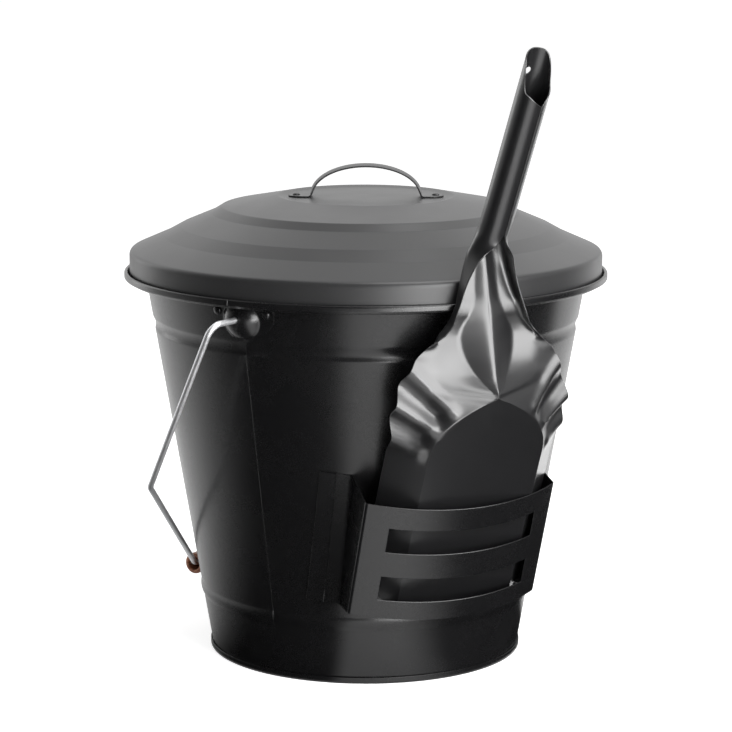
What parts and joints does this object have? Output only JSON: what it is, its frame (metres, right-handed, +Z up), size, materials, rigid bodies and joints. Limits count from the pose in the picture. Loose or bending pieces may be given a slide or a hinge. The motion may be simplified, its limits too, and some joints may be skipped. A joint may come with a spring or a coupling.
{
  "type": "ash bucket",
  "caption": "Round tapered metal ash bucket with a stepped lid, a wire bail with a wooden grip, and a shovel standing in a slotted holder on its side.",
  "frame": {"origin": "on the floor, at the bucket's own axis, in the plane of the rolled foot that it stands on", "axes": "+Z up along the bucket's axis; the bail's pivots lie on X, +X at the far ear; the bail hangs at +Y; the shovel's holder faces -Y, turned 31 degrees towards -X"},
  "size_m": [0.4084, 0.4047, 0.4785],
  "materials": {
    "body_enamel": "satin",
    "lid_enamel": "satin",
    "shovel_enamel": "gloss",
    "zinc_wire": "satin",
    "stained_wood": "satin"
  },
  "bodies": {
    "bucket": {"body_front": "body_enamel", "body_rear": "body_enamel", "bottom_plate": "body_enamel", "ear_near": "body_enamel", "ear_far": "body_enamel", "ear_rivets_near": "body_enamel", "ear_rivets_far": "body_enamel", "shovel_holder": "body_enamel"},
    "bail": {"bail_wire": "zinc_wire"},
    "grip": {"bail_grip": "stained_wood"},
    "lid": {"lid_shell": "lid_enamel", "lid_handle": "lid_enamel", "lid_handle_rivets": "lid_enamel"},
    "shovel": {"shovel": "shovel_enamel"}
  },
  "joints": [
    {"name": "bail_swing", "type": "hinge", "parent": "bucket", "child": "bail", "pos_m": [0, 0, 0.2775], "axis": [1, 0, 0], "range_deg": [0, 200]},
    {"name": "grip_spin", "type": "hinge", "parent": "bail", "child": "grip", "pos_m": [0, 0.13686, 0.05058], "axis": [1, 0, 0], "continuous": true},
    {"name": "lid_lift", "type": "slide", "parent": "bucket", "child": "lid", "axis": [0, 0, 1], "range_m": [0, 0.3]},
    {"name": "shovel_draw", "type": "slide", "parent": "bucket", "child": "shovel", "axis": [-0.1938, -0.3213, 0.9269], "range_m": [0, 0.13]}
  ]
}
